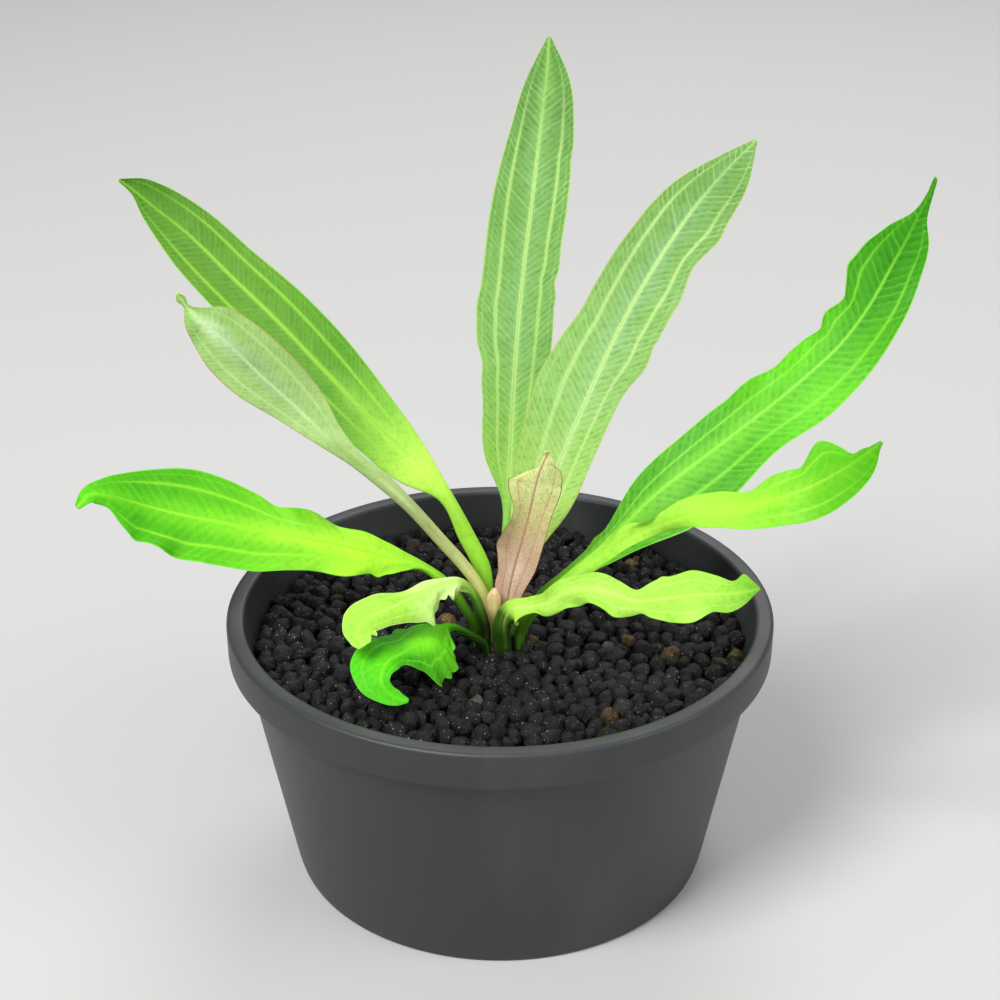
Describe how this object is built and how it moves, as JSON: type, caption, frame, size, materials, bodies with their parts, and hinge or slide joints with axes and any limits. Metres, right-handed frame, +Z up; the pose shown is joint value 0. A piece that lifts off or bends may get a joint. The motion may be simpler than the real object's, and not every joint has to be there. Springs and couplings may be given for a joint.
{
  "type": "potted echinodorus",
  "caption": "Rosette of strap-shaped ribbed green leaves, some of them curled, growing from a short crown in dark granular soil in a plain round tapered pot.",
  "frame": {"origin": "centre of the pot's flat base, on the surface that it stands on", "axes": "+Z up, +X to the right of the plant seen from its front, +Y away from the front"},
  "size_m": [0.1459, 0.098, 0.1454],
  "materials": {
    "pot_plastic": "plain charcoal black, satin",
    "dark_soil": "round baked clay grains, near black, slightly damp",
    "crown_skin": "brown-green rootstock skin",
    "sage_leaf": "sage green leaf with lighter ribs, satin, slightly translucent",
    "green_leaf": "bright green leaf with yellow-green ribs, satin, slightly translucent",
    "lime_leaf": "lime green leaf, satin, slightly translucent",
    "pale_leaf": "pale olive leaf with a thin brown margin, satin",
    "red_leaf": "olive to pinkish brown new leaf with red-brown veins, satin"
  },
  "bodies": {
    "root": {"pot": "pot_plastic", "soil": "dark_soil", "crown": "crown_skin", "leaf_tall": "sage_leaf", "leaf_broad": "sage_leaf", "leaf_young": "red_leaf", "leaf_bud": "red_leaf", "leaf_upper_left": "green_leaf", "leaf_pale": "pale_leaf", "leaf_low_left": "green_leaf", "leaf_right": "green_leaf", "leaf_low_right": "green_leaf", "leaf_front_right": "lime_leaf", "leaf_curled_upper": "lime_leaf", "leaf_curled_lower": "green_leaf"}
  },
  "joints": []
}
